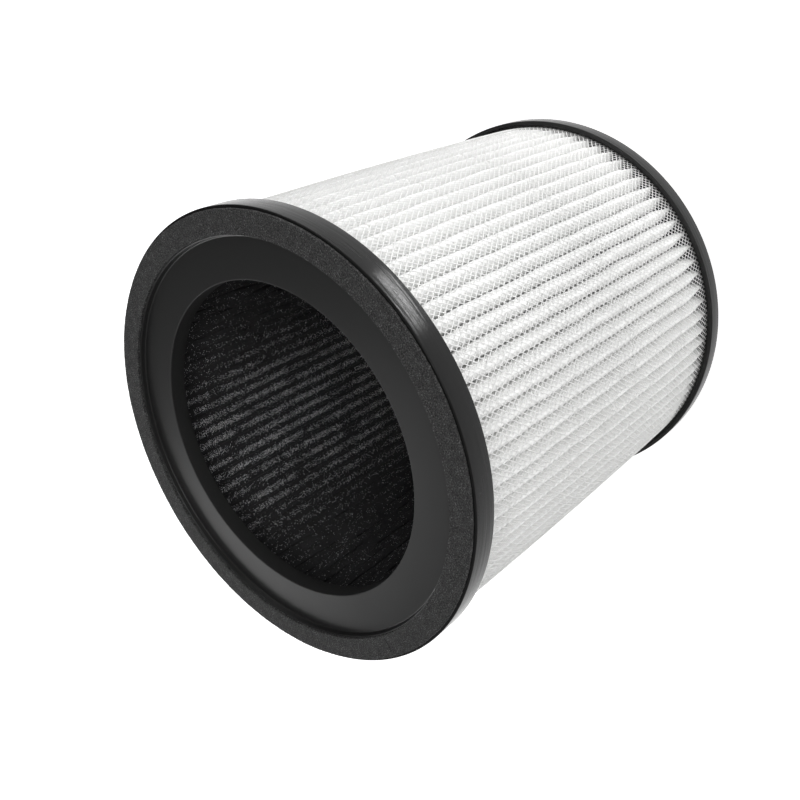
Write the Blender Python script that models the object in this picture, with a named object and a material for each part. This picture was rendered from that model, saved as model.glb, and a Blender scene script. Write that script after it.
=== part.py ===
"""Round air purifier filter: a pleated pack between two moulded end caps.

The filter stands on its base cap, on the plane z = 0, with its axis along Z.
The open end with the foam gasket is at the top. All sizes are in metres.
"""
import math

import bmesh
import bpy

# Whole filter
BODY_HEIGHT = 0.1600        # base plane to the land that carries the gasket
CAP_RADIUS = 0.0750
CLEARANCE = 0.0003          # gap between pieces that touch
SEGMENTS = 60               # facets round the turned pieces

# Moulded caps
SKIRT_WALL = 0.0014
PLATE_WALL = 0.0016
LAND_WIDTH = 0.0092         # raised outer band of either cap
CAP_FILLET = 0.0007         # outer edge of either cap
TOP_SKIRT = 0.0083
BASE_SKIRT = 0.0061
TOP_RECESS = 0.0018         # ring round the hole, below the land
BASE_RECESS = 0.0010        # base panel, above the rim that it stands on
RECESS_WIDTH = 0.0133       # from the land to the hole
STEP_DRAFT = 0.0003         # lean of the wall between land and recess
LIP_WALL = 0.0014
LIP_FILLET = 0.0006
THROAT_DEPTH = 0.0058       # lip round the hole, below the recessed ring
BASE_LIP_HEIGHT = 0.0032    # ring inside the base cap, above the base panel

# Foam gasket
FOAM_WIDTH = 0.0076
FOAM_INSET = 0.0004         # from the edge of the step to the foam
FOAM_THICKNESS = 0.0009     # from the land to the sealing face
FOAM_SEAM_ANGLE = 182.2     # degrees, where the two ends of the strip meet

# Adhesive that the pleats stand in
ADHESIVE_DEPTH = 0.0016

# Pleated pack
PLEATS = 86
PLEAT_DEPTH = 0.0139        # from the outer folds to the inner ones, at the bore
HEPA_THICKNESS = 0.0005
CARBON_THICKNESS = 0.0006
CREST_HALF_WIDTH = 0.0016   # half the width of an outer fold
VALLEY_HALF_WIDTH = 0.00015
FOLD_BEVEL = 0.0006         # rounding of a fold where it is seen

# Diamond netting round the pack
NET_WALL = 0.0004
NET_RIDGE = 0.0002          # how far a strand's middle stands above its edges
NET_COLUMNS = 15
NET_ROWS = 6
NET_STRAND = 0.0026
NET_HEM = 0.0040            # closed band at either end of the net

# Places that follow from the sizes above
SKIRT_INSIDE = CAP_RADIUS - SKIRT_WALL
LAND_INSIDE = CAP_RADIUS - LAND_WIDTH
HOLE_RADIUS = LAND_INSIDE - RECESS_WIDTH
LIP_OUTSIDE = HOLE_RADIUS + LIP_WALL
RECESS_Z = BODY_HEIGHT - TOP_RECESS
TOP_ADHESIVE_Z = RECESS_Z - PLATE_WALL - CLEARANCE - ADHESIVE_DEPTH
BASE_PANEL_TOP = BASE_RECESS + PLATE_WALL
BASE_ADHESIVE_Z = BASE_PANEL_TOP + CLEARANCE + ADHESIVE_DEPTH
PACK_TOP = TOP_ADHESIVE_Z - CLEARANCE
PACK_BOTTOM = BASE_ADHESIVE_Z + CLEARANCE
NET_OUTSIDE = SKIRT_INSIDE * math.cos(math.pi / SEGMENTS) - CLEARANCE
NET_INSIDE = NET_OUTSIDE - NET_RIDGE - NET_WALL
CREST_RADIUS = NET_INSIDE * math.cos(math.pi / (2 * NET_COLUMNS)) - CLEARANCE
ROOT_RADIUS = CREST_RADIUS - PLEAT_DEPTH
NET_HALF_HEIGHT = (PACK_TOP - PACK_BOTTOM - 2 * NET_HEM) / (NET_ROWS + 1)
CARBON_DEPTH = HEPA_THICKNESS + CLEARANCE
PACK_DEPTH = CARBON_DEPTH + CARBON_THICKNESS

# How finely a fillet is drawn, and the most of an edge that it may take
ARC_STEPS = 2
FILLET_SHARE = 0.45
SHARP_ANGLE = 30.0          # degrees, above which an edge is left hard
WELD = 1e-6


def clear_scene():
    """Remove whatever objects the file holds."""
    for item in list(bpy.data.objects):
        bpy.data.objects.remove(item, do_unlink=True)


def make_material(name, color, roughness, metallic=0.0):
    """Principled material with one colour."""
    material = bpy.data.materials.new(name)
    material.use_nodes = True
    shader = material.node_tree.nodes["Principled BSDF"]
    shader.inputs["Base Color"].default_value = (*color, 1.0)
    shader.inputs["Roughness"].default_value = roughness
    shader.inputs["Metallic"].default_value = metallic
    return material


def add_object(name, mesh_data, material):
    """Turn a bmesh into a named object with smooth round faces."""
    bmesh.ops.recalc_face_normals(mesh_data, faces=mesh_data.faces)
    mesh = bpy.data.meshes.new(name)
    mesh_data.to_mesh(mesh)
    mesh_data.free()
    mesh.shade_smooth()
    mesh.set_sharp_from_angle(angle=math.radians(SHARP_ANGLE))
    mesh.materials.append(material)
    item = bpy.data.objects.new(name, mesh)
    bpy.context.scene.collection.objects.link(item)
    return item


def rounded(corners):
    """Outline from corners (radius, height, fillet); a fillet becomes an arc."""
    outline = []
    count = len(corners)
    for index, (r, z, fillet) in enumerate(corners):
        if fillet == 0:
            outline.append((r, z))
            continue
        before = corners[index - 1]
        after = corners[(index + 1) % count]
        u = (before[0] - r, before[1] - z)
        v = (after[0] - r, after[1] - z)
        u_length = math.hypot(*u)
        v_length = math.hypot(*v)
        reach = min(fillet, FILLET_SHARE * u_length, FILLET_SHARE * v_length)
        start = (r + u[0] / u_length * reach, z + u[1] / u_length * reach)
        end = (r + v[0] / v_length * reach, z + v[1] / v_length * reach)
        for step in range(ARC_STEPS + 1):
            t = step / ARC_STEPS
            outline.append((
                (1 - t) ** 2 * start[0] + 2 * t * (1 - t) * r + t ** 2 * end[0],
                (1 - t) ** 2 * start[1] + 2 * t * (1 - t) * z + t ** 2 * end[1],
            ))
    return outline


def turn(outline, closed=True):
    """Revolve an outline of (radius, height) points once round Z."""
    mesh_data = bmesh.new()
    verts = [mesh_data.verts.new((r, 0.0, z)) for r, z in outline]
    edges = [mesh_data.edges.new(pair) for pair in zip(verts, verts[1:])]
    if closed:
        edges.append(mesh_data.edges.new((verts[-1], verts[0])))
    bmesh.ops.spin(
        mesh_data, geom=verts + edges, cent=(0, 0, 0), axis=(0, 0, 1),
        angle=math.tau, steps=SEGMENTS, use_merge=True, use_duplicate=False,
    )
    bmesh.ops.remove_doubles(mesh_data, verts=mesh_data.verts, dist=WELD)
    return mesh_data


def build_top_cap(material):
    """Channel ring: skirt, land for the gasket, recessed ring and throat lip."""
    lip_end = RECESS_Z - THROAT_DEPTH
    skirt_end = BODY_HEIGHT - TOP_SKIRT
    step_under = LAND_INSIDE + SKIRT_WALL
    corners = [
        (CAP_RADIUS, skirt_end, 0),
        (CAP_RADIUS, BODY_HEIGHT, CAP_FILLET),
        (LAND_INSIDE + STEP_DRAFT, BODY_HEIGHT, 0),
        (LAND_INSIDE, RECESS_Z, 0),
        (HOLE_RADIUS, RECESS_Z, LIP_FILLET),
        (HOLE_RADIUS, lip_end, 0),
        (LIP_OUTSIDE, lip_end, 0),
        (LIP_OUTSIDE, RECESS_Z - PLATE_WALL, 0),
        (step_under, RECESS_Z - PLATE_WALL, 0),
        (step_under, BODY_HEIGHT - PLATE_WALL, 0),
        (SKIRT_INSIDE, BODY_HEIGHT - PLATE_WALL, 0),
        (SKIRT_INSIDE, skirt_end, 0),
    ]
    return add_object("top_cap", turn(rounded(corners)), material)


def build_base_cap(material):
    """Closed dish: standing rim, raised panel, skirt and inner ring."""
    lip_end = BASE_PANEL_TOP + BASE_LIP_HEIGHT
    step_over = LAND_INSIDE + SKIRT_WALL
    corners = [
        (0, BASE_RECESS, 0),
        (LAND_INSIDE, BASE_RECESS, 0),
        (LAND_INSIDE + STEP_DRAFT, 0, 0),
        (CAP_RADIUS, 0, CAP_FILLET),
        (CAP_RADIUS, BASE_SKIRT, 0),
        (SKIRT_INSIDE, BASE_SKIRT, 0),
        (SKIRT_INSIDE, PLATE_WALL, 0),
        (step_over, PLATE_WALL, 0),
        (step_over, BASE_PANEL_TOP, 0),
        (LIP_OUTSIDE, BASE_PANEL_TOP, 0),
        (LIP_OUTSIDE, lip_end, 0),
        (HOLE_RADIUS, lip_end, 0),
        (HOLE_RADIUS, BASE_PANEL_TOP, 0),
        (0, BASE_PANEL_TOP, 0),
    ]
    return add_object("base_cap", turn(rounded(corners), closed=False), material)


def build_foam_gasket(material):
    """Flat foam strip bent to a ring, with a butt joint where its ends meet."""
    inside = LAND_INSIDE + STEP_DRAFT + FOAM_INSET
    outside = inside + FOAM_WIDTH
    bottom = BODY_HEIGHT + CLEARANCE
    top = BODY_HEIGHT + FOAM_THICKNESS
    joint = CLEARANCE / outside
    start = math.radians(FOAM_SEAM_ANGLE) + joint / 2
    mesh_data = bmesh.new()
    section = [(outside, bottom), (outside, top), (inside, top), (inside, bottom)]
    verts = [
        mesh_data.verts.new((r * math.cos(start), r * math.sin(start), z))
        for r, z in section
    ]
    end_face = mesh_data.faces.new(verts)
    bmesh.ops.spin(
        mesh_data, geom=verts + list(end_face.edges) + [end_face],
        cent=(0, 0, 0), axis=(0, 0, 1), angle=math.tau - joint,
        steps=SEGMENTS, use_merge=False, use_duplicate=False,
    )
    return add_object("foam_gasket", mesh_data, material)


def build_adhesive(name, free_z, panel_z, rim_z, material):
    """Cast ring that fills a cap's channel, stepped like the cap's plate."""
    inside = LIP_OUTSIDE + CLEARANCE
    outside = SKIRT_INSIDE - CLEARANCE
    step = LAND_INSIDE + SKIRT_WALL + CLEARANCE
    corners = [
        (outside, free_z, 0),
        (outside, rim_z, 0),
        (step, rim_z, 0),
        (step, panel_z, 0),
        (inside, panel_z, 0),
        (inside, free_z, 0),
    ]
    return add_object(name, turn(rounded(corners)), material)


def fold_points(radius, half_width, angle, bevel):
    """One fold of a sheet face, as points across it from side to side."""
    if bevel == 0:
        local = [(radius, -half_width), (radius, half_width)]
    else:
        shoulder = radius - bevel
        crown = half_width - abs(bevel)
        local = [
            (shoulder, -half_width),
            (radius, -crown),
            (radius, crown),
            (shoulder, half_width),
        ]
    cos_a = math.cos(angle)
    sin_a = math.sin(angle)
    return [(r * cos_a - x * sin_a, r * sin_a + x * cos_a) for r, x in local]


def sheet_face(depth, crest_bevel, root_bevel):
    """Folds of the face that lies at a depth below the pack's outer face."""
    pitch = math.tau / PLEATS
    crests = []
    roots = []
    for index in range(PLEATS):
        crests.append(fold_points(
            CREST_RADIUS - depth, CREST_HALF_WIDTH - depth, index * pitch, crest_bevel,
        ))
        roots.append(fold_points(
            ROOT_RADIUS + PACK_DEPTH - depth, VALLEY_HALF_WIDTH + depth,
            (index + 0.5) * pitch, -root_bevel,
        ))
    return crests, roots


def build_folded_sheet(name, outer, inner, material):
    """Sheet folded into pleats between an outer and an inner face."""
    mesh_data = bmesh.new()

    def place(folds):
        return [[mesh_data.verts.new((x, y, PACK_BOTTOM)) for x, y in fold] for fold in folds]

    outer_crests, outer_roots = (place(folds) for folds in outer)
    inner_crests, inner_roots = (place(folds) for folds in inner)
    for index in range(PLEATS):
        following = (index + 1) % PLEATS
        crest_out, crest_in = outer_crests[index], inner_crests[index]
        root_out, root_in = outer_roots[index], inner_roots[index]
        next_out, next_in = outer_crests[following], inner_crests[following]
        mesh_data.faces.new(crest_out + crest_in[::-1])
        mesh_data.faces.new((crest_out[-1], root_out[0], root_in[0], crest_in[-1]))
        mesh_data.faces.new(root_out + root_in[::-1])
        mesh_data.faces.new((root_out[-1], next_out[0], next_in[0], root_in[-1]))
    section = list(mesh_data.faces)
    raised = bmesh.ops.extrude_face_region(mesh_data, geom=section, use_keep_orig=True)
    top_verts = [item for item in raised["geom"] if isinstance(item, bmesh.types.BMVert)]
    bmesh.ops.translate(mesh_data, verts=top_verts, vec=(0, 0, PACK_TOP - PACK_BOTTOM))
    return add_object(name, mesh_data, material)


def build_hepa_pleats(material):
    """White filter sheet, folded with its outer folds rounded."""
    outer = sheet_face(0, FOLD_BEVEL, 0)
    inner = sheet_face(HEPA_THICKNESS, 0, 0)
    return build_folded_sheet("hepa_pleats", outer, inner, material)


def build_carbon_pleats(material):
    """Black carbon cloth, folded inside the white sheet, pleat in pleat."""
    outer = sheet_face(CARBON_DEPTH, 0, 0)
    inner = sheet_face(PACK_DEPTH, 0, 0)
    return build_folded_sheet("carbon_pleats", outer, inner, material)


def net_point(column, row, radius):
    """Point of the net: column in steps of half a diamond, row likewise."""
    angle = math.pi * column / NET_COLUMNS
    return (
        radius * math.cos(angle),
        radius * math.sin(angle),
        PACK_BOTTOM + NET_HEM + row * NET_HALF_HEIGHT,
    )


def build_outer_net(material):
    """Extruded diamond netting: strands ridged outside, a gap in each diamond."""
    mesh_data = bmesh.new()
    half_columns = 2 * NET_COLUMNS
    last_row = NET_ROWS + 1
    half_width = math.pi * NET_OUTSIDE / NET_COLUMNS
    edge = math.hypot(half_width, NET_HALF_HEIGHT)
    to_strand = half_width * NET_HALF_HEIGHT / edge
    to_strand_in_half = half_width * NET_HALF_HEIGHT / (half_width + edge)
    known = {}

    def knot(side, column, row):
        key = (side, column % half_columns, row)
        if key not in known:
            radius = NET_OUTSIDE if side == "out" else NET_INSIDE
            known[key] = mesh_data.verts.new(net_point(key[1], row, radius))
        return known[key]

    def hem_vert(side, column, end_z):
        key = (side, column % half_columns, end_z)
        if key not in known:
            x, y, _ = knot(side, column, 0).co
            known[key] = mesh_data.verts.new((x, y, end_z))
        return known[key]

    def add_cell(middle, row, corners, centre, share):
        gaps = {}
        for side in ("out", "in"):
            radius = NET_OUTSIDE - NET_RIDGE if side == "out" else NET_INSIDE
            knots = [knot(side, middle + dc, row + dr) for dc, dr in corners]
            gaps[side] = [
                mesh_data.verts.new(net_point(
                    middle + dc * share, centre + (row + dr - centre) * share, radius,
                ))
                for dc, dr in corners
            ]
            for a in range(4):
                b = (a + 1) % 4
                mesh_data.faces.new((knots[a], knots[b], gaps[side][b], gaps[side][a]))
        for a in range(4):
            b = (a + 1) % 4
            mesh_data.faces.new(
                (gaps["out"][a], gaps["out"][b], gaps["in"][b], gaps["in"][a]))

    for row in range(1, last_row):
        for index in range(NET_COLUMNS):
            corners = ((-1, 0), (0, -1), (1, 0), (0, 1))
            share = 1 - NET_STRAND / 2 / to_strand
            add_cell(2 * index + 1 + row % 2, row, corners, row, share)

    for row, inward, end_z in ((0, 1, PACK_BOTTOM), (last_row, -1, PACK_TOP)):
        for index in range(NET_COLUMNS):
            corners = ((-1, 0), (0, 0), (1, 0), (0, inward))
            share = 1 - NET_STRAND / 2 / to_strand_in_half
            centre = row + inward * to_strand_in_half / NET_HALF_HEIGHT
            add_cell(2 * index + 1 + row % 2, row, corners, centre, share)
        for column in range(half_columns):
            for side in ("out", "in"):
                mesh_data.faces.new((
                    knot(side, column, row), knot(side, column + 1, row),
                    hem_vert(side, column + 1, end_z), hem_vert(side, column, end_z),
                ))
            mesh_data.faces.new((
                hem_vert("out", column, end_z), hem_vert("out", column + 1, end_z),
                hem_vert("in", column + 1, end_z), hem_vert("in", column, end_z),
            ))
    return add_object("outer_net", mesh_data, material)


def main():
    clear_scene()
    cap_plastic = make_material("cap_plastic", (0.020, 0.020, 0.021), 0.35)
    foam = make_material("gasket_foam", (0.055, 0.055, 0.058), 0.95)
    adhesive = make_material("cast_adhesive", (0.012, 0.012, 0.012), 0.45)
    hepa_paper = make_material("hepa_paper", (0.86, 0.86, 0.85), 0.90)
    carbon_cloth = make_material("carbon_cloth", (0.018, 0.018, 0.019), 0.80)
    net_plastic = make_material("net_plastic", (0.88, 0.88, 0.87), 0.45)
    build_top_cap(cap_plastic)
    build_base_cap(cap_plastic)
    build_foam_gasket(foam)
    build_adhesive(
        "top_adhesive", TOP_ADHESIVE_Z, RECESS_Z - PLATE_WALL - CLEARANCE,
        BODY_HEIGHT - PLATE_WALL - CLEARANCE, adhesive,
    )
    build_adhesive(
        "base_adhesive", BASE_ADHESIVE_Z, BASE_PANEL_TOP + CLEARANCE,
        PLATE_WALL + CLEARANCE, adhesive,
    )
    build_hepa_pleats(hepa_paper)
    build_carbon_pleats(carbon_cloth)
    build_outer_net(net_plastic)


if __name__ == "__main__":
    main()
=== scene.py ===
"""Looks of a round air purifier filter: caps, gasket, pleats, spacer lines and netting.

The packed solids are the frame. Every piece is made here in metres, in the frame's own
coordinates: the filter stands on z = 0 with its axis along Z and its open end on top.
"""
import math

import bpy
import numpy as np
from bpy.props import FloatProperty, FloatVectorProperty, IntProperty, PointerProperty
from bpy.types import Operator, Panel, PropertyGroup
from mathutils import Matrix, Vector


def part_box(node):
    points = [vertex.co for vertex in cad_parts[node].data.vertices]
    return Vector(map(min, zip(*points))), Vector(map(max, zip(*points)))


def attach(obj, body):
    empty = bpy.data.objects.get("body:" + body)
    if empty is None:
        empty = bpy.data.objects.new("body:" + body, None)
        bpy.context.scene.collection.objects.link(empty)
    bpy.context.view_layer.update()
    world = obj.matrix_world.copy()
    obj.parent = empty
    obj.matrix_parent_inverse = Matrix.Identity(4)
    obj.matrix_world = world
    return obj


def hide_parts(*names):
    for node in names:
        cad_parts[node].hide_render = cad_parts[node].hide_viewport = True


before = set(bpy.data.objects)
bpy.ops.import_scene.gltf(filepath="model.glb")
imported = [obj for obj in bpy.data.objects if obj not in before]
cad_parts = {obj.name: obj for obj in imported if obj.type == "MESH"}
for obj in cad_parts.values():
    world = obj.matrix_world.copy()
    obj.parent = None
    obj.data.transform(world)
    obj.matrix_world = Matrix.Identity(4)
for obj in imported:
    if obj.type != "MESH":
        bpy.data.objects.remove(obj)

bl_info = {
    "name": "Purifier filter looks",
    "version": (1, 0, 0),
    "blender": (4, 5, 0),
    "location": "3D View > Sidebar > Filter",
    "description": "Builds the visible pieces of a round pleated air filter",
    "category": "Object",
}

BODY = "root"
MM = 0.001

# Places read from the packed solids
CAP_LOW, CAP_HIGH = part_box("top_cap")
BASE_LOW, BASE_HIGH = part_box("base_cap")
WHITE_LOW, WHITE_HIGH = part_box("hepa_pleats")
GASKET_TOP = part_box("foam_gasket")[1].z
CAP_RADIUS = CAP_HIGH.x
BODY_TOP = CAP_HIGH.z
PACK_BOTTOM = WHITE_LOW.z
PACK_TOP = WHITE_HIGH.z
PACK_MIDDLE = (PACK_BOTTOM + PACK_TOP) / 2
PACK_HALF = (PACK_TOP - PACK_BOTTOM) / 2

# Sizes of the moulded caps that their boxes don't give
SKIRT_WALL = 1.4 * MM
PLATE_WALL = 1.6 * MM
LAND_WIDTH = 9.2 * MM
RECESS_WIDTH = 13.3 * MM
TOP_RECESS = 1.8 * MM
BASE_RECESS = 1.0 * MM
STEP_DRAFT = 0.3 * MM
LIP_WALL = 1.4 * MM
THROAT_DEPTH = 5.8 * MM
BASE_LIP_HEIGHT = 3.2 * MM
LAND_INSIDE = CAP_RADIUS - LAND_WIDTH
HOLE_RADIUS = LAND_INSIDE - RECESS_WIDTH
SKIRT_INSIDE = CAP_RADIUS - SKIRT_WALL
RECESS_Z = BODY_TOP - TOP_RECESS
CAP_SEGMENTS = 256
CENTRE_RADIUS = 0.5 * MM    # flat round the axis of the closed cap
FILLET_SHARE = 0.45         # most of an edge's length that one fillet may take
FILLET_STEPS = 5
SHARP_ANGLE = math.radians(45)
POLISHED, SATIN, LIT_THROAT = 0, 1, 2   # order of the caps' finishes

# Gasket
GASKET_INSET = 0.4 * MM
GASKET_WIDTH = 7.6 * MM
GASKET_SEAM = math.radians(182.2)
GASKET_JOINT = 0.25 * MM    # gap left at the butt joint
GASKET_SEGMENTS = 900
GASKET_ACROSS = 9           # points across its top face
GASKET_ROUND = 0.3          # where the middle of a pressed edge lies, as a share of its rounding
GASKET_PITS = (-0.035, 0.01)    # lowest and highest point of the top face's pits, in mm
INNER_WAVES = (9, 23, 61, 137)  # waves round each cut edge
OUTER_WAVES = (7, 19, 53, 149)
RAGGED_POWER = 6            # power of the distance from the middle with which the edges wander
PITTED_SHARE = 0.98         # share of the width, from the middle out, that is pitted
GASKET_SEED = 11

# Pleated sheets, each at a depth below the white sheet's outer face
PLEATS = 86
PITCH = math.tau / PLEATS
CREST_RADIUS = WHITE_HIGH.x
ROOT_RADIUS = CREST_RADIUS - 13.9 * MM
WHITE_THICKNESS = 0.5 * MM
BLACK_DEPTH = 0.8 * MM
PACK_DEPTH = 1.4 * MM
BACK_DEPTH = 1.6 * MM       # how far below a crest the folds' hidden faces turn
ROOT_HALF_WIDTH = 0.15 * MM
ROOT_FLARE = 0.5 * MM       # height of the narrow foot of a gap between two outer folds
WHITE_CORNER = 0.9 * MM     # half width of the hidden faces at their turns
BLACK_CORNER = 0.45 * MM
SLIT = 0.05 * MM            # half of the slit between two black ridges
SLIT_DEPTH = 0.6 * MM
SLIT_BEND = 0.55            # where a ridge's side bends, as a share of the way down to it
LEVELS_BETWEEN = 7          # heights drawn between two spacer lines
LEVELS_AT_LINE = (-1.7, -0.8, -0.35, 0.0, 0.35, 0.8, 1.7)   # heights drawn close to a line, in mm
BACK_LEVELS = 24
# Outline of one side of an outer fold: depth below the crest and distance aside, as shares of its reach
FOLD_SIDE = ((0.04, 0.19), (0.16, 0.39), (0.42, 0.62), (0.90, 0.83), (2.1, 1.0))
# Places across a black inner fold's ridge, as shares of its reach
RIDGE = (-1.0, -0.70, -0.36, 0.0, 0.36, 0.70, 1.0)
RIDGE_COLUMN = 3            # first of the ridge's points in the black sheet's face
BLACK_COLUMNS = 12

# How the folds stray from straight ones
CREST_RISE = 0.55 * MM      # how far the folds and the net stand proud of the solids' crests
CREST_WAVE = 0.10 * MM
SWAY_OFFSET = 0.10 * MM
ROOT_SWAY = 0.30 * MM
HELD_REACH = 7.0 * MM       # height near a spacer line over which it holds the folds
BLACK_HELD_REACH = 9.0 * MM
KINK = 0.07 * MM            # how far a line holds a fold aside, the height in which it turns, and its reach
KINK_TURN = 0.8 * MM
KINK_REACH = 9.0 * MM
NEAR_DIP = 0.3 * MM         # how far the outer folds draw in at the open end's cap
FAR_DIP = 0.7 * MM          # and at the closed end's cap
NEAR_GAP = 0.3 * MM         # how much wider the gaps are at the open end
FAR_GAP = 0.9 * MM          # and at the closed end
NEAR_PINCH = 0.35           # how much narrower and deeper the folds are pinched at the open end
FAR_PINCH = 0.80            # and at the closed end
END_REACH = 14.0 * MM       # height over which they draw in
SWAY_HELD = 0.25            # share of its sway that an outer fold keeps at a spacer line
INNER_HELD = 0.3            # and an inner fold, of its sway and its swell
GAP_AT_LINE = 1.25          # gap between outer folds at a line, as a share of the one that is set
GAP_NARROWED = 0.4          # how much narrower it is between the lines
GAP_WAVE = 0.55             # how far it strays along a fold
SWELL_MEAN = 0.4            # how far a black fold swells towards the bore, in mm
SWELL_WAVE = 1.3            # how far that strays along a fold
SWELL_SPREAD = 0.22         # and from fold to fold
SWELL_RANGE = (-0.25, 0.9)  # least and most of it
HOLLOW_WAVE = 0.55          # how far the hollows' depth strays, as a share of it
FOLD_SEED = 86
RANDOM_ROWS = 8
SWELL_ROW, SWAY_ROW, GLINT_ROW, KINK_ROW = 0, 1, 2, 4    # rows of the random offsets; each line has a kink's
# Smooth random courses along the height: row of the random phases, and wavelengths in mm
COURSES = {
    "radius": (0, (31, 17, 9)),
    "sway": (1, (63, 41, 23)),
    "gap": (2, (38, 21, 13)),
    "root": (3, (57, 33, 19)),
    "swell": (4, (47, 27, 14)),
    "hollow": (5, (53, 26, 12)),
    "painted_glint": (6, (51, 29, 13)),
}

# Painted glints on the carbon cloth: pale grains painted on the ridge tops, most of them on the side of the
# bore where light falls
LIT_SIDE = math.radians(84)
LIT_SIDE_SPREAD = 0.15        # 1 less the cosine of the angle at which it has faded
GLINT_ELSEWHERE = 0.09
GLINT_WIDTH = 0.50         # share of a ridge's reach at which it has faded
GLINT_MEAN = 0.74            # how much painted glint the ridges get, from 0 to 1
GLINT_WAVE = 0.60            # how far that strays along a fold
GLINT_SPREAD = 0.10          # and from fold to fold
LEAST_GLINT = 0.05

# Hot-melt spacer lines
LINE_COUNT = 4
LINE_PITCH = 37.0 * MM
TOP_LINE_Z = 139.6 * MM
GROOVE_WIDTH = 0.5 * MM
SPACER_REACH = 2.0 * MM     # how far up from the roots a spacer's inner edge lies
SPACER_DIPS = ((-0.04, 0.0), (0.5, 0.35), (1.04, 0.0))  # share of the way across, and dip in mm
SPACER_UNEVEN = (0.85, 1.15)    # least and most thickness of a spacer, as shares
SPACER_SINK = (0.0, 0.5)    # least and most depth below the folds at which it lies, in mm
THREAD = ((5, 0.32), (7, 0.26), (9, 0.32))  # column of the white sheet's face, and half height in mm
THREAD_INSIDE = 0.12 * MM
THREAD_OUTSIDE = 0.08 * MM
BEFORE_TOP, BEFORE_ROOT, AFTER_TOP, AFTER_ROOT = 11, 13, 3, 1   # columns that a spacer joins
LINE_SECTION = np.radians([-67, -22, 22, 67, 113, 158, 202, 247])
LINE_ROUND = 1.08           # makes up for the section's flat sides
LINE_SEED = 40

# Diamond netting
NET_LEVELS = 38
NET_WAVES = ((1, 71), (2, 113), (5, 59), (9, 37))   # waves round the filter, and wavelength in mm
NET_CROSSING = 0.03 * MM    # how far either set of strands lies from the net's middle
NET_END = 8                 # power with which the net lies true at its ends
STRAND_SECTION = np.radians([0, 90, 180, 270])
NET_SEED = 245

# Camera of the photograph, fitted to the rims of both caps and of the hole
CAMERA_PLACE = (0.0, -0.23769, 0.33145)
CAMERA_AXES = (
    (-0.47738, 0.87849, 0.01878),
    (-0.61380, -0.31811, -0.72253),
    (-0.62877, -0.35645, 0.69108),
)
CAMERA_LENS = 42.287
CAMERA_SENSOR = 36.0

# Stage
FLOOR_RADIUS = 6.0
FLOOR_SIDES = 96
DARK_DIRECTION = (0.53, 0.80, 0.28)
DARK_EDGE = (0.60, 0.93)    # cosines from that direction between which the surround dims
# Soft lights: place, the point that each faces, width and height in metres, and spread in degrees
LIGHTS = {
    "key": ((1.0, -0.30, 0.12), (0.0, 0.0, 0.06), (0.6, 0.22), 180),
    "top": ((0.05, 0.0, 1.30), (0.0, 0.0, 0.08), (1.1, 1.1), 180),
    "front": ((0.03, -0.78, 0.66), (0.0, 0.02, 0.12), (0.40, 0.40), 180),
    "low": ((0.14, -0.21, 0.03), (0.045, -0.055, 0.012), (0.16, 0.04), 70),
    "bore": ((0.0, -0.16, 0.46), (0.0, 0.05, 0.10), (0.10, 0.10), 30),
    "card": ((-0.05, 0.38, 0.27), (-0.01, 0.03, 0.158), (0.14, 0.12), 180),
    "strip": ((0.095, -0.190, 0.012), (0.017, -0.073, 0.158), (0.10, 0.018), 50),
}


def linear(hex_colour):
    """Linear colour of an sRGB hex value such as 808080."""
    values = [int(hex_colour[i:i + 2], 16) / 255 for i in (0, 2, 4)]
    return tuple(v / 12.92 if v <= 0.04045 else ((v + 0.055) / 1.055) ** 2.4 for v in values)


def length_property(name, description, default):
    """Property that holds a length in metres."""
    return FloatProperty(name=name, description=description, default=default,
                         min=0.0, precision=5, subtype="DISTANCE", unit="LENGTH")


def power_property(name, description, default):
    """Property that holds a lamp's power in watts."""
    return FloatProperty(name=name, description=description, default=default, min=0.0, unit="POWER")


def colour_property(name, description, hex_colour):
    """Property that holds a linear colour."""
    return FloatVectorProperty(name=name, description=description, size=3, min=0.0, max=1.0,
                               default=linear(hex_colour), subtype="COLOR")


class FILTER_PG_caps(PropertyGroup):
    """Moulded end caps."""
    plastic: colour_property("Plastic", "Colour of the moulded caps", "1a1a1a")
    # The potting's black is partly painted shade at the pleats' ends
    potting: colour_property("Potting", "Colour of the potting in the caps", "1c1c1c")
    edge_fillet: length_property("Edge fillet", "Rounding of the skirt's outer edge", 0.45 * MM)
    lip_fillet: length_property("Lip fillet", "Rounding of the lip round the hole", 0.4 * MM)
    step_fillet: length_property("Step fillet", "Rounding of the step round the recess", 0.42 * MM)
    corner_fillet: length_property("Corner fillet", "Rounding of the other edges", 0.18 * MM)


class FILTER_PG_gasket(PropertyGroup):
    """Foam gasket."""
    foam: colour_property("Foam", "Colour of the foam", "3b3b3b")
    cell: length_property("Cell", "Size of the foam's open cells", 0.45 * MM)
    ragged: length_property("Ragged edge", "How far the cut edges wander", 0.10 * MM)
    edge_fillet: length_property("Edge fillet", "Rounding of the pressed edges", 0.22 * MM)


class FILTER_PG_pleats(PropertyGroup):
    """Folded white and black sheets."""
    white: colour_property("White sheet", "Colour of the white nonwoven", "f3f3f2")
    black: colour_property("Black sheet", "Colour of the carbon cloth", "2b2b2c")
    gap: length_property("Gap", "Gap between two outer folds", 0.50 * MM)
    grit: length_property("Grit", "Size of the carbon grains", 0.28 * MM)
    hollow: length_property("Hollow", "Depth of the hollows between the black inner folds", 0.45 * MM)
    sway: length_property("Sway", "How far a fold wanders sideways", 0.40 * MM)
    bulge: length_property("Bulge", "How far the pack swells at mid-height", 0.7 * MM)


class FILTER_PG_lines(PropertyGroup):
    """Hot-melt spacer lines."""
    glue: colour_property("Glue", "Colour of the hot-melt glue", "eeeeec")
    thickness: length_property("Thickness", "Thickness of a spacer along the axis", 1.2 * MM)
    groove: length_property("Groove", "How deep a line sinks into the folds", 0.25 * MM)


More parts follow.
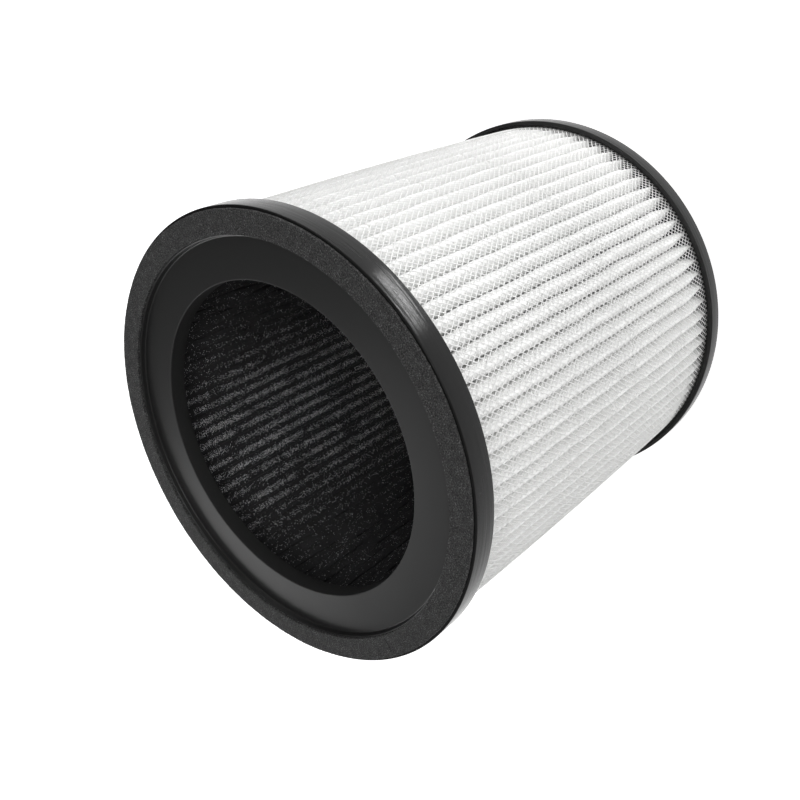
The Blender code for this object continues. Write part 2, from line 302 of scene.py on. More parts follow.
class FILTER_PG_net(PropertyGroup):
    """Diamond netting."""
    plastic: colour_property("Plastic", "Colour of the netting", "dededd")
    columns: IntProperty(name="Columns", description="Diamonds round the filter", default=245)
    diamond: length_property("Diamond", "Height of a diamond", 2.75 * MM)
    strand: length_property("Strand", "Width of a strand", 0.32 * MM)
    strand_depth: length_property("Strand depth", "Thickness of a strand across the net", 0.13 * MM)
    sunk: length_property("Sunk", "How far the net sinks into the outer folds", 0.02 * MM)
    wander: length_property("Wander", "How far the net is drawn out of true", 0.35 * MM)


class FILTER_PG_stage(PropertyGroup):
    """Floor and lights."""
    floor: colour_property("Floor", "Colour of the floor", "fbfbfb")
    glow: FloatProperty(name="Glow", description="Strength of the light table's own light",
                        default=0.80, min=0.0)
    surround: FloatProperty(name="Surround", description="Strength of the white surround",
                            default=0.43, min=0.0)
    dark_side: FloatProperty(name="Dark side", description="Share of the surround left on its dark side",
                             default=0.35, min=0.0, max=1.0, subtype="FACTOR")
    key: power_property("Key light", "Power of the soft light at the side", 2.0)
    top: power_property("Top light", "Power of the large light overhead", 0.4)
    front: power_property("Front light", "Power of the soft light behind the camera", 1.1)
    low: power_property("Low light", "Power of the wide light low beside the closed end", 0.023)
    bore: power_property("Bore light", "Power of the narrow light into the bore", 0.014)
    card: power_property("Card", "Power of the soft card beyond the open end", 0.34)
    strip: power_property("Strip light", "Power of the low strip that glints in the skirt", 0.013)


GROUPS = {
    "caps": FILTER_PG_caps,
    "gasket": FILTER_PG_gasket,
    "pleats": FILTER_PG_pleats,
    "lines": FILTER_PG_lines,
    "net": FILTER_PG_net,
    "stage": FILTER_PG_stage,
}


def settings(group):
    """Property group of that name on the scene."""
    return getattr(bpy.context.scene, "filter_" + group)


def add_node(tree, kind, inputs=None, stops=(), **values):
    """Node of a kind with its settings; an input is a value or a socket to link.

    The stops are those of a colour ramp, each a position and a linear colour.
    """
    node = tree.nodes.new(kind)
    for key, value in values.items():
        setattr(node, key, value)
    for key, value in (inputs or {}).items():
        if isinstance(value, bpy.types.NodeSocket):
            tree.links.new(value, node.inputs[key])
        else:
            node.inputs[key].default_value = value
    if stops:
        elements = node.color_ramp.elements
        while len(elements) < len(stops):
            elements.new(0.5)
        for element, (position, colour) in zip(elements, stops):
            element.position = position
            element.color = (*colour, 1.0)
    return node


def new_material(name):
    """Empty node material, its tree, and the place of the shaded point in metres."""
    material = bpy.data.materials.new(name)
    material.use_nodes = True
    tree = material.node_tree
    tree.nodes.clear()
    return material, tree, add_node(tree, "ShaderNodeTexCoord").outputs["Object"]


def finished(material, shader):
    """The material, with its surface shader connected."""
    add_node(material.node_tree, "ShaderNodeOutputMaterial", {"Surface": shader.outputs[0]})
    return material


def scaled(colour, share):
    """The colour, lighter or darker by a share."""
    return tuple(min(1.0, c * share) for c in colour)


def moulded_abs(name, colour, level, roughness, grain, depth, streaks):
    """Injection-moulded ABS: deep black with a slightly uneven shine.

    The mould's face shows as a fine grain of a size and depth, and as turning marks of the depth
    of the streaks, which draw a highlight out round the rim. Cooling leaves long shallow waves
    that make its edge wander. The level is that of the mirror-like part of the shine.
    """
    material, tree, place = new_material(name)
    waves = add_node(tree, "ShaderNodeTexNoise", {"Vector": place, "Scale": 1 / (18 * MM), "Detail": 1.0})
    fine = add_node(tree, "ShaderNodeTexNoise", {"Vector": place, "Scale": 1 / grain, "Detail": 3.0})
    dust = add_node(tree, "ShaderNodeTexVoronoi", {"Vector": place, "Scale": 1 / (2.6 * MM)})
    specks = add_node(tree, "ShaderNodeValToRGB", {"Fac": dust.outputs["Distance"]}, stops=[
        (0.0, scaled(colour, 2.2)), (0.05, scaled(colour, 1.6)), (0.09, colour)])
    shine = add_node(tree, "ShaderNodeMapRange", {
        "Value": fine.outputs["Fac"], "From Min": 0.3, "From Max": 0.7,
        "To Min": roughness[0], "To Max": roughness[1]})
    along = add_node(tree, "ShaderNodeVectorMath", {0: place, 1: (0.07, 0.07, 1.0)}, operation="MULTIPLY")
    marks = add_node(tree, "ShaderNodeTexNoise", {
        "Vector": along.outputs["Vector"], "Scale": 1 / (1.2 * MM), "Detail": 2.0})
    bump_marks = add_node(tree, "ShaderNodeBump", {
        "Height": marks.outputs["Fac"], "Distance": streaks, "Strength": 1.0})
    bump_waves = add_node(tree, "ShaderNodeBump", {
        "Height": waves.outputs["Fac"], "Distance": 0.10 * MM, "Strength": 0.5,
        "Normal": bump_marks.outputs["Normal"]})
    bump_fine = add_node(tree, "ShaderNodeBump", {
        "Height": fine.outputs["Fac"], "Distance": depth, "Strength": 0.6,
        "Normal": bump_waves.outputs["Normal"]})
    shader = add_node(tree, "ShaderNodeBsdfPrincipled", {
        "Base Color": specks.outputs["Color"], "Roughness": shine.outputs["Result"],
        "IOR": 1.52, "Specular IOR Level": level, "Normal": bump_fine.outputs["Normal"]})
    return finished(material, shader)


def open_cell_foam(name, colour, cell):
    """Cut open-cell polyurethane foam: dull grey, pitted, with pale specks where cells are cut."""
    material, tree, place = new_material(name)
    cells = add_node(tree, "ShaderNodeTexVoronoi", {"Vector": place, "Scale": 1 / cell})
    mottle = add_node(tree, "ShaderNodeTexNoise", {"Vector": place, "Scale": 1 / (2.4 * MM), "Detail": 2.0})
    grain = add_node(tree, "ShaderNodeTexNoise", {"Vector": place, "Scale": 1 / (0.42 * MM), "Detail": 2.0})
    both = add_node(tree, "ShaderNodeMix", {
        0: 0.80, 2: mottle.outputs["Fac"], 3: grain.outputs["Fac"]}, data_type="FLOAT")
    shade = add_node(tree, "ShaderNodeValToRGB", {"Fac": both.outputs[0]}, stops=[
        (0.36, scaled(colour, 0.30)), (0.46, scaled(colour, 0.85)), (0.57, scaled(colour, 1.35)),
        (0.67, scaled(colour, 3.4))])
    bump_cells = add_node(tree, "ShaderNodeBump", {
        "Height": cells.outputs["Distance"], "Distance": 0.16 * MM, "Strength": 0.9})
    bump = add_node(tree, "ShaderNodeBump", {
        "Height": both.outputs[0], "Distance": 0.30 * MM, "Strength": 0.9,
        "Normal": bump_cells.outputs["Normal"]})
    shader = add_node(tree, "ShaderNodeBsdfPrincipled", {
        "Base Color": shade.outputs["Color"], "Roughness": 0.92, "IOR": 1.45,
        "Normal": bump.outputs["Normal"]})
    return finished(material, shader)


def melt_blown_nonwoven(name, colour):
    """Melt-blown polypropylene nonwoven: matte white felt with faint clouds of denser fibre."""
    material, tree, place = new_material(name)
    clouds = add_node(tree, "ShaderNodeTexNoise", {"Vector": place, "Scale": 1 / (3.5 * MM), "Detail": 3.0})
    fibres = add_node(tree, "ShaderNodeTexNoise", {
        "Vector": place, "Scale": 1 / (0.5 * MM), "Detail": 4.0, "Distortion": 1.5})
    shade = add_node(tree, "ShaderNodeValToRGB", {"Fac": clouds.outputs["Fac"]}, stops=[
        (0.30, scaled(colour, 0.955)), (0.50, scaled(colour, 0.985)), (0.70, colour)])
    bump = add_node(tree, "ShaderNodeBump", {
        "Height": fibres.outputs["Fac"], "Distance": 0.05 * MM, "Strength": 0.3})
    shader = add_node(tree, "ShaderNodeBsdfPrincipled", {
        "Base Color": shade.outputs["Color"], "Roughness": 0.95, "IOR": 1.45,
        "Specular IOR Level": 0.2, "Subsurface Weight": 0.6, "Subsurface Radius": (1.0, 1.0, 1.0),
        "Subsurface Scale": 0.9 * MM, "Sheen Weight": 0.05, "Sheen Roughness": 0.6,
        "Normal": bump.outputs["Normal"]})
    return finished(material, shader)


def carbon_cloth(name, colour, grit):
    """Cloth loaded with activated carbon grit: dull black, with pale grains painted on as glints.

    The mesh's "ridge" value is a painted highlight: it says how many grains are painted pale, most on the
    ridge tops and on the side of the bore where light falls. Real grit is finer, and it is drawn as coarse as
    it needs to show.
    grit is finer, and it is drawn as coarse as it needs to show.
    """
    material, tree, place = new_material(name)
    ridge = add_node(tree, "ShaderNodeAttribute", attribute_name="ridge")
    grains = add_node(tree, "ShaderNodeTexVoronoi", {"Vector": place, "Scale": 1 / grit})
    chance = add_node(tree, "ShaderNodeTexWhiteNoise", {"Vector": grains.outputs["Position"]})
    limit = add_node(tree, "ShaderNodeMapRange", {
        "Value": ridge.outputs["Fac"], "To Min": 0.98, "To Max": 0.05})
    painted_grain = add_node(tree, "ShaderNodeMath", {
        0: chance.outputs["Value"], 1: limit.outputs["Result"]}, operation="GREATER_THAN")
    core = add_node(tree, "ShaderNodeMath", {0: grains.outputs["Distance"], 1: 0.45}, operation="LESS_THAN")
    painted_glint = add_node(tree, "ShaderNodeMath", {
        0: painted_grain.outputs["Value"], 1: core.outputs["Value"]}, operation="MULTIPLY")
    parts = add_node(tree, "ShaderNodeSeparateColor", {"Color": chance.outputs["Color"]})
    # Pale grains are painted glints: colour that stands in for light catching the grit
    pale = add_node(tree, "ShaderNodeValToRGB", {"Fac": parts.outputs["Green"]}, stops=[
        (0.0, scaled(colour, 12.0)), (0.55, scaled(colour, 30.0)), (0.85, scaled(colour, 68.0))])
    shade = add_node(tree, "ShaderNodeMix", {
        "Factor": painted_glint.outputs["Value"], 6: (*colour, 1.0), 7: pale.outputs["Color"]}, data_type="RGBA")
    # Each grain is a small flat flake that is turned its own way, most of them by a little
    twice = add_node(tree, "ShaderNodeVectorMath", {
        0: grains.outputs["Color"], 1: chance.outputs["Color"]}, operation="ADD")
    middle = add_node(tree, "ShaderNodeVectorMath", {
        0: twice.outputs["Vector"], 1: (1.0, 1.0, 1.0)}, operation="SUBTRACT")
    tilt = add_node(tree, "ShaderNodeVectorMath", {
        0: middle.outputs["Vector"], "Scale": 0.45}, operation="SCALE")
    face = add_node(tree, "ShaderNodeNewGeometry")
    turned_face = add_node(tree, "ShaderNodeVectorMath", {
        0: face.outputs["Normal"], 1: tilt.outputs["Vector"]}, operation="ADD")
    flake = add_node(tree, "ShaderNodeVectorMath", {0: turned_face.outputs["Vector"]}, operation="NORMALIZE")
    shine = add_node(tree, "ShaderNodeMapRange", {
        "Value": painted_glint.outputs["Value"], "To Min": 0.9, "To Max": 0.36})
    glint = add_node(tree, "ShaderNodeMapRange", {
        "Value": painted_glint.outputs["Value"], "To Min": 0.40, "To Max": 1.0})
    shader = add_node(tree, "ShaderNodeBsdfPrincipled", {
        "Base Color": shade.outputs[2], "Roughness": shine.outputs["Result"], "IOR": 1.5,
        "Specular IOR Level": glint.outputs["Result"], "Normal": flake.outputs["Vector"]})
    return finished(material, shader)


def hot_melt(name, colour):
    """Hot-melt adhesive laid in thin lines: cloudy white with a soft waxy shine."""
    material, tree, place = new_material(name)
    clouds = add_node(tree, "ShaderNodeTexNoise", {"Vector": place, "Scale": 1 / (2.2 * MM), "Detail": 3.0})
    shade = add_node(tree, "ShaderNodeValToRGB", {"Fac": clouds.outputs["Fac"]}, stops=[
        (0.35, scaled(colour, 0.93)), (0.65, colour)])
    bump = add_node(tree, "ShaderNodeBump", {
        "Height": clouds.outputs["Fac"], "Distance": 0.15 * MM, "Strength": 0.4})
    shader = add_node(tree, "ShaderNodeBsdfPrincipled", {
        "Base Color": shade.outputs["Color"], "Roughness": 0.38, "IOR": 1.48,
        "Normal": bump.outputs["Normal"]})
    return finished(material, shader)


def polyurethane_potting(name, colour):
    """Poured two-part polyurethane: black, levelled flat, with a dull shine."""
    material, tree, place = new_material(name)
    pour = add_node(tree, "ShaderNodeTexNoise", {"Vector": place, "Scale": 1 / (4.0 * MM), "Detail": 2.0})
    shade = add_node(tree, "ShaderNodeValToRGB", {"Fac": pour.outputs["Fac"]}, stops=[
        (0.35, scaled(colour, 0.8)), (0.65, colour)])
    bump = add_node(tree, "ShaderNodeBump", {
        "Height": pour.outputs["Fac"], "Distance": 0.2 * MM, "Strength": 0.3})
    shader = add_node(tree, "ShaderNodeBsdfPrincipled", {
        "Base Color": shade.outputs["Color"], "Roughness": 0.45, "IOR": 1.5,
        "Normal": bump.outputs["Normal"]})
    return finished(material, shader)


def extruded_polypropylene(name, colour):
    """Extruded polypropylene netting: bright white strands with a narrow shine along them."""
    material, tree, place = new_material(name)
    drawn = add_node(tree, "ShaderNodeTexNoise", {"Vector": place, "Scale": 1 / (1.1 * MM), "Detail": 2.0})
    shade = add_node(tree, "ShaderNodeValToRGB", {"Fac": drawn.outputs["Fac"]}, stops=[
        (0.30, scaled(colour, 0.94)), (0.65, colour)])
    shader = add_node(tree, "ShaderNodeBsdfPrincipled", {
        "Base Color": shade.outputs["Color"], "Roughness": 0.55, "IOR": 1.49, "Specular IOR Level": 0.3})
    return finished(material, shader)


def opal_acrylic(name, colour, glow):
    """Opal acrylic sheet of a light table: even matte white, lit from below so that shadows stay faint."""
    material, tree, place = new_material(name)
    coat = add_node(tree, "ShaderNodeTexNoise", {"Vector": place, "Scale": 1 / (110 * MM), "Detail": 2.0})
    shade = add_node(tree, "ShaderNodeValToRGB", {"Fac": coat.outputs["Fac"]}, stops=[
        (0.3, scaled(colour, 0.995)), (0.7, colour)])
    shader = add_node(tree, "ShaderNodeBsdfPrincipled", {
        "Base Color": shade.outputs["Color"], "Roughness": 0.9,
        "Emission Color": (1.0, 1.0, 1.0, 1.0), "Emission Strength": glow})
    return finished(material, shader)


def grid_faces(rows, columns, wrap_rows=False, wrap_columns=False, start=0):
    """Quads between the points of a grid that are numbered row by row."""
    row = np.arange(rows if wrap_rows else rows - 1)
    column = np.arange(columns if wrap_columns else columns - 1)
    row, column = np.meshgrid(row, column, indexing="ij")
    next_row = (row + 1) % rows
    next_column = (column + 1) % columns
    corners = [(row, column), (row, next_column), (next_row, next_column), (next_row, column)]
    return start + np.stack([r * columns + c for r, c in corners], -1).reshape(-1, 4)


def volume(points, faces):
    """Signed volume inside the faces, taken as fans."""
    total = 0.0
    for count in {len(face) for face in faces}:
        loops = points[np.array([face for face in faces if len(face) == count])]
        for k in range(1, count - 1):
            total += (loops[:, 0] * np.cross(loops[:, k], loops[:, k + 1])).sum() / 6
    return total


def add_piece(name, points, faces, materials, replaced=(), face_material=None):
    """Smooth mesh piece of the filter, facing out, that rides with the body."""
    points = np.asarray(points, float).reshape(-1, 3)
    faces = [tuple(face) for face in faces]
    if volume(points, faces) < 0:
        faces = [face[::-1] for face in faces]
    mesh = bpy.data.meshes.new(name)
    mesh.from_pydata(points.tolist(), [], faces)
    mesh.validate()
    for material in materials:
        mesh.materials.append(material)
    if face_material is not None:
        mesh.polygons.foreach_set("material_index", np.asarray(face_material, np.int32))
    mesh.shade_smooth()
    mesh.set_sharp_from_angle(angle=SHARP_ANGLE)
    piece = bpy.data.objects.new(name, mesh)
    bpy.context.scene.collection.objects.link(piece)
    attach(piece, BODY)
    if replaced:
        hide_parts(*replaced)
    return piece


def rounded(corners):
    """Outline through corners (radius, height, fillet, finish), each fillet a short curve.

    Gives the points and, for each, the finish of the face that starts there.
    """
    outline = []
    finishes = []
    for index, (r, z, fillet, finish) in enumerate(corners):
        before = corners[index - 1]
        after = corners[(index + 1) % len(corners)]
        u = np.array([before[0] - r, before[1] - z])
        v = np.array([after[0] - r, after[1] - z])
        reach = min(fillet, FILLET_SHARE * np.hypot(*u), FILLET_SHARE * np.hypot(*v))
        if reach == 0:
            outline.append((r, z))
            finishes.append(finish)
            continue
        corner = np.array([r, z])
        start = corner + u / np.hypot(*u) * reach
        end = corner + v / np.hypot(*v) * reach
        for t in np.linspace(0, 1, FILLET_STEPS + 1):
            outline.append(tuple((1 - t) ** 2 * start + 2 * t * (1 - t) * corner + t ** 2 * end))
            finishes.append(finish)
    return np.array(outline), finishes


def turned(outline, segments, closed=True):
    """Points and faces of an outline of (radius, height) revolved round Z."""
    angle = np.arange(segments) * math.tau / segments
    r, z = outline[:, 0], outline[:, 1]
    points = np.stack([
        np.outer(np.cos(angle), r), np.outer(np.sin(angle), r), np.tile(z, (segments, 1))], -1)
    faces = grid_faces(segments, len(outline), wrap_rows=True, wrap_columns=closed)
    return points.reshape(-1, 3), faces


def cap_materials():
    """Polished and satin ABS of the caps, and a rougher copy of the same ABS on the throat, coloured lighter
    as painted light on the throat's shade.
    """
    plastic = tuple(settings("caps").plastic)
    return [
        moulded_abs("polished_abs", plastic, 0.12, (0.15, 0.24), 0.8 * MM, 0.004 * MM, 0.07 * MM),
        moulded_abs("satin_abs", plastic, 0.34, (0.32, 0.40), 0.22 * MM, 0.02 * MM, 0.0),
        # Painted light: the throat's ABS is lighter than the rest of the cap
        moulded_abs("eroded_abs", scaled(plastic, 1.9), 0.34, (0.55, 0.65), 0.22 * MM, 0.02 * MM, 0.0),
    ]


def build_top_cap(materials):
    """Channel ring: glossy skirt, raised land, satin recessed ring and lip round the hole."""
    sizes = settings("caps")
    small = sizes.corner_fillet
    skirt_end = CAP_LOW.z
    lip_end = RECESS_Z - THROAT_DEPTH
    lip_outside = HOLE_RADIUS + LIP_WALL
    step_under = LAND_INSIDE + SKIRT_WALL
    corners = [
        (CAP_RADIUS, skirt_end, small, POLISHED),
        (CAP_RADIUS, BODY_TOP, sizes.edge_fillet, POLISHED),
        (LAND_INSIDE + STEP_DRAFT, BODY_TOP, sizes.step_fillet, SATIN),
        (LAND_INSIDE, RECESS_Z, sizes.step_fillet, SATIN),
        (HOLE_RADIUS, RECESS_Z, sizes.lip_fillet, LIT_THROAT),
        (HOLE_RADIUS, lip_end, small, SATIN),
        (lip_outside, lip_end, 0, SATIN),
        (lip_outside, RECESS_Z - PLATE_WALL, 0, SATIN),
        (step_under, RECESS_Z - PLATE_WALL, 0, SATIN),
        (step_under, BODY_TOP - PLATE_WALL, 0, SATIN),
        (SKIRT_INSIDE, BODY_TOP - PLATE_WALL, 0, SATIN),
        (SKIRT_INSIDE, skirt_end, small, SATIN),
    ]
    outline, finishes = rounded(corners)
    points, faces = turned(outline, CAP_SEGMENTS)
    return add_piece("open_end_cap", points, faces, materials, ["top_cap"],
                     np.tile(finishes, CAP_SEGMENTS))


def build_base_cap(materials):
    """Closed dish: standing rim, raised panel, glossy skirt and inner ring."""
    sizes = settings("caps")
    small = sizes.corner_fillet
    panel_top = BASE_RECESS + PLATE_WALL
    lip_end = panel_top + BASE_LIP_HEIGHT
    lip_outside = HOLE_RADIUS + LIP_WALL
    step_over = LAND_INSIDE + SKIRT_WALL
    corners = [
        (CENTRE_RADIUS, BASE_RECESS, 0, SATIN),
        (LAND_INSIDE, BASE_RECESS, small, POLISHED),
        (LAND_INSIDE + STEP_DRAFT, BASE_LOW.z, small, POLISHED),
        (CAP_RADIUS, BASE_LOW.z, sizes.edge_fillet, POLISHED),
        (CAP_RADIUS, BASE_HIGH.z, sizes.edge_fillet, SATIN),
        (SKIRT_INSIDE, BASE_HIGH.z, small, SATIN),
        (SKIRT_INSIDE, PLATE_WALL, 0, SATIN),
        (step_over, PLATE_WALL, 0, SATIN),
        (step_over, panel_top, 0, SATIN),
        (lip_outside, panel_top, 0, SATIN),
        (lip_outside, lip_end, small, SATIN),
        (HOLE_RADIUS, lip_end, small, SATIN),
        (HOLE_RADIUS, panel_top, small, SATIN),
        (CENTRE_RADIUS, panel_top, 0, SATIN),
    ]
    outline, finishes = rounded(corners)
    points, faces = turned(outline, CAP_SEGMENTS, closed=False)
    count = len(outline)
    under = [index * count for index in range(CAP_SEGMENTS)]
    over = [index * count + count - 1 for index in range(CAP_SEGMENTS)]
    faces = [tuple(face) for face in faces] + [tuple(under[::-1]), tuple(over)]
    face_material = list(np.tile(finishes[:-1], CAP_SEGMENTS)) + [SATIN, SATIN]
    return add_piece("closed_end_cap", points, faces, materials, ["base_cap"],
                     face_material)


def build_gasket():
    """Die-cut foam strip laid in a ring, its edges slightly ragged, with a butt joint."""
    sizes = settings("gasket")
    rng = np.random.default_rng(GASKET_SEED)
    inside = LAND_INSIDE + STEP_DRAFT + GASKET_INSET
    outside = inside + GASKET_WIDTH
    low, high = BODY_TOP, GASKET_TOP
    fillet = sizes.edge_fillet
    pressed = GASKET_ROUND * fillet
    across = np.linspace(inside + fillet, outside - fillet, GASKET_ACROSS)
    section = [(outside, low), (outside, high - fillet), (outside - pressed, high - pressed)]
    section += [(r, high) for r in across[::-1]]
    section += [(inside + pressed, high - pressed), (inside, high - fillet), (inside, low)]
    section = np.array(section)
    gap = GASKET_JOINT / outside
    angle = GASKET_SEAM + gap / 2 + (math.tau - gap) * np.linspace(0, 1, GASKET_SEGMENTS)

    def wander(amount, waves):
        total = np.zeros(GASKET_SEGMENTS)
        for wave in waves:
            total += np.sin(wave * angle + rng.uniform(0, math.tau)) / len(waves)
        return amount * (total + rng.uniform(-0.5, 0.5, GASKET_SEGMENTS))

    inner_edge = wander(sizes.ragged, INNER_WAVES)
    outer_edge = wander(sizes.ragged, OUTER_WAVES)
    # Only the edges wander, and only the top face is pitted
    middle = (inside + outside) / 2
    share = np.abs(section[:, 0] - middle) / (outside - middle)
    edge = np.where(section[:, 0] > middle, outer_edge[:, None], inner_edge[:, None])
    shift = share ** RAGGED_POWER * edge
    top = (section[:, 1] > low) & (share < PITTED_SHARE)
    lift = np.where(top, rng.uniform(*GASKET_PITS, (GASKET_SEGMENTS, len(section))) * MM, 0)
    r = section[:, 0] + shift
    z = section[:, 1] + lift
    points = np.stack([r * np.cos(angle)[:, None], r * np.sin(angle)[:, None], z], -1)
    faces = [tuple(face) for face in grid_faces(GASKET_SEGMENTS, len(section), wrap_columns=True)]
    count = len(section)
    faces.append(tuple(range(count))[::-1])
    faces.append(tuple(range((GASKET_SEGMENTS - 1) * count, GASKET_SEGMENTS * count)))
    foam = open_cell_foam("open_cell_foam", tuple(sizes.foam), sizes.cell)
    piece = add_piece("gasket_foam_ring", points, faces, [foam], ["foam_gasket"])
    return piece


def line_heights():
    """Heights of the spacer lines."""
    return TOP_LINE_Z - LINE_PITCH * np.arange(LINE_COUNT)


def near_line(z, width):
    """1 on a spacer line, falling to 0 within about a width."""
    away = np.abs(z[..., None] - line_heights())
    return np.exp(-(away / width) ** 2).max(-1)


def pack_levels():
    """Heights at which the sheets are drawn, closest at the spacer lines."""
    stops = [PACK_BOTTOM, *sorted(line_heights()), PACK_TOP]
    levels = [PACK_BOTTOM, PACK_TOP]
    for line in line_heights():
        levels += list(line + np.array(LEVELS_AT_LINE) * MM)
    for low, high in zip(stops, stops[1:]):
        levels += list(np.linspace(low, high, LEVELS_BETWEEN + 2)[1:-1])
    return np.array(sorted(set(np.round(levels, 7))))


def swollen(z):
    """Radius of the outer folds, which swell between the caps."""
    swell = 1 - ((z - PACK_MIDDLE) / PACK_HALF) ** 2
    return CREST_RADIUS + CREST_RISE + settings("pleats").bulge * swell


def kept(free, held):
    """Share of a movement that is left, from that held at a spacer line to all of it where free."""
    return held + (1 - held) * free


class PleatShapes:
    """Smooth random course of every fold along the height, the same for both sheets."""

    def __init__(self):
        rng = np.random.default_rng(FOLD_SEED)
        self.phase = rng.uniform(0, math.tau, (RANDOM_ROWS, 3, PLEATS))
        self.offset = rng.normal(0, 1, (RANDOM_ROWS, PLEATS))

    def course(self, z, name):
        """Value about -1 to 1 for every height and fold."""
        row, waves = COURSES[name]
        total = sum(np.sin(math.tau * z[:, None] / (wave * MM) + self.phase[row, k])
                    for k, wave in enumerate(waves))
        return total / len(waves)

    def crest(self, z):
        """Radius and sideways place of the outer folds, and the gap between them."""
        sizes = settings("pleats")
        free = 1 - near_line(z, HELD_REACH)[:, None]
        near, far = self.draw_in(z)
        radius = swollen(z) - NEAR_DIP * near ** 2 - FAR_DIP * far ** 3
        radius = radius[:, None] + CREST_WAVE * self.course(z, "radius")
        radius -= settings("lines").groove * near_line(z, GROOVE_WIDTH)[:, None]
        sway = sizes.sway * kept(free, SWAY_HELD) * self.course(z, "sway")
        sway += SWAY_OFFSET * self.offset[SWAY_ROW]
        # The line holds a fold a little aside from where it runs on either hand
        for number, line in enumerate(line_heights()):
            away = (z - line)[:, None]
            kink = KINK * self.offset[KINK_ROW + number] * np.tanh(away / KINK_TURN)
            sway += kink * np.exp(-(away / KINK_REACH) ** 2)
        gap = sizes.gap * (GAP_AT_LINE - GAP_NARROWED * free + GAP_WAVE * self.course(z, "gap"))
        gap += NEAR_GAP * near[:, None] ** 2 + FAR_GAP * far[:, None] ** 2
        return radius, sway, gap

    def draw_in(self, z):
        """How strongly either cap draws the folds in: 1 at the cap, falling to 0 at the reach."""
        near = np.clip(1 - (CAP_LOW.z - z) / END_REACH, 0, 1)
        far = np.clip(1 - (z - BASE_HIGH.z) / END_REACH, 0, 1)
        return near, far

    def root(self, z):
        """Sideways place of the inner folds."""
        free = 1 - near_line(z, HELD_REACH)[:, None]
        return ROOT_SWAY * kept(free, INNER_HELD) * self.course(z, "root")

    def black_fold(self, z):
        """How far the black inner folds swell towards the bore, and how deep the hollows between them are."""
        free = 1 - near_line(z, BLACK_HELD_REACH)[:, None]
        swell = kept(free, INNER_HELD) * (SWELL_MEAN + SWELL_WAVE * self.course(z, "swell"))
        swell += SWELL_SPREAD * self.offset[SWELL_ROW]
        hollow = settings("pleats").hollow * (1 + HOLLOW_WAVE * self.course(z, "hollow"))
        return np.clip(swell, *SWELL_RANGE) * MM, hollow

    def painted_glint(self, z):
        """Painted highlight of the black cloth at every height, fold and point of its ridge, from 0 to 1:
        most on the ridge tops and on the lit side of the bore.
        """
        turn = (np.arange(PLEATS) + 0.5) * PITCH - LIT_SIDE
        # Painted light: most glints go on the side of the bore where light falls
        side = np.exp(-((1 - np.cos(turn)) / LIT_SIDE_SPREAD) ** 2)
        side = GLINT_ELSEWHERE + (1 - GLINT_ELSEWHERE) * side
        painted_glint = GLINT_MEAN + GLINT_SPREAD * self.offset[GLINT_ROW] + GLINT_WAVE * self.course(z, "painted_glint")
        across = np.exp(-(np.abs(RIDGE) / GLINT_WIDTH) ** 3)
        return (np.clip(painted_glint, LEAST_GLINT, 1) * side)[:, :, None] * across


def local_points(radius, aside, centre):
    """Points at a radius and a distance aside from the line at the centre angle."""
    cos_a, sin_a = np.cos(centre), np.sin(centre)
    return np.stack([radius * cos_a - aside * sin_a, radius * sin_a + aside * cos_a], -1)


def with_height(flat, z):
    """Plane points of every level with their height added."""
    heights = np.broadcast_to(z[:, None, None, None], (*flat.shape[:-1], 1))
    return np.concatenate([flat, heights], -1)


def lerp(a, b, t):
    """Point between a and b."""
    return a + (b - a) * t


def next_fold(angle, by=1):
    """Angle that stands next to each one round the filter, or before it where by is -1."""
    turned_on = np.roll(angle, -by, axis=1)
    turned_on[:, -1 if by > 0 else 0] += by * math.tau
    return turned_on


def crest_centres(shapes, z):
    """Angle of every outer fold at every height."""
    radius, sway, _ = shapes.crest(z)
    return np.arange(PLEATS) * PITCH + sway / radius


def root_centres(shapes, z):
    """Angle of the inner folds after every outer fold."""
    return (np.arange(PLEATS) + 0.5) * PITCH + shapes.root(z) / ROOT_RADIUS


def fold_reach(shapes, z):
    """How far an outer fold reaches to the left and to the right."""
    radius, _, gap = shapes.crest(z)
    crest = crest_centres(shapes, z)
    reach = (next_fold(crest) - crest) / 2 * radius - gap / 2
    return np.roll(reach, 1, axis=1), reach


def white_face(shapes, z):
    """Outer face of the white sheet: 14 points for each pleat, from one inner fold to the next."""
    radius, _, _ = shapes.crest(z)
    crest = crest_centres(shapes, z)
    after = root_centres(shapes, z)
    before = next_fold(after, -1)
    bottom = ROOT_RADIUS + PACK_DEPTH
    flare = ROOT_HALF_WIDTH * 2
    left_reach, right_reach = fold_reach(shapes, z)
    near, far = shapes.draw_in(z)
    pinch = NEAR_PINCH * near[:, None] ** 2 + FAR_PINCH * far[:, None] ** 2
    sides = [(d * (1 + pinch), s - pinch * s * (1 - s)) for d, s in FOLD_SIDE]
    flat = [
        local_points(bottom, 0.0, before),
        local_points(bottom + ROOT_FLARE, flare, before),
        *[local_points(radius - d * left_reach, -s * left_reach, crest) for d, s in sides[::-1]],
        local_points(radius, 0.0, crest),
        *[local_points(radius - d * right_reach, s * right_reach, crest) for d, s in sides],
        local_points(bottom + ROOT_FLARE, -flare, after),
    ]
    return with_height(np.stack(flat, 2), z)


def white_back(shapes, z):
    """Hidden face of the white sheet: 5 points for each pleat."""
    radius, _, _ = shapes.crest(z)
    crest = crest_centres(shapes, z)
    after = root_centres(shapes, z)
    before = next_fold(after, -1)
    bottom = ROOT_RADIUS + PACK_DEPTH - WHITE_THICKNESS
    aside = ROOT_HALF_WIDTH + WHITE_THICKNESS
    flat = [
        local_points(bottom, 0.0, before),
        local_points(bottom, aside, before),
        local_points(radius - BACK_DEPTH, -WHITE_CORNER, crest),
        local_points(radius - BACK_DEPTH, WHITE_CORNER, crest),
        local_points(bottom, -aside, after),
    ]
    return with_height(np.stack(flat, 2), z)


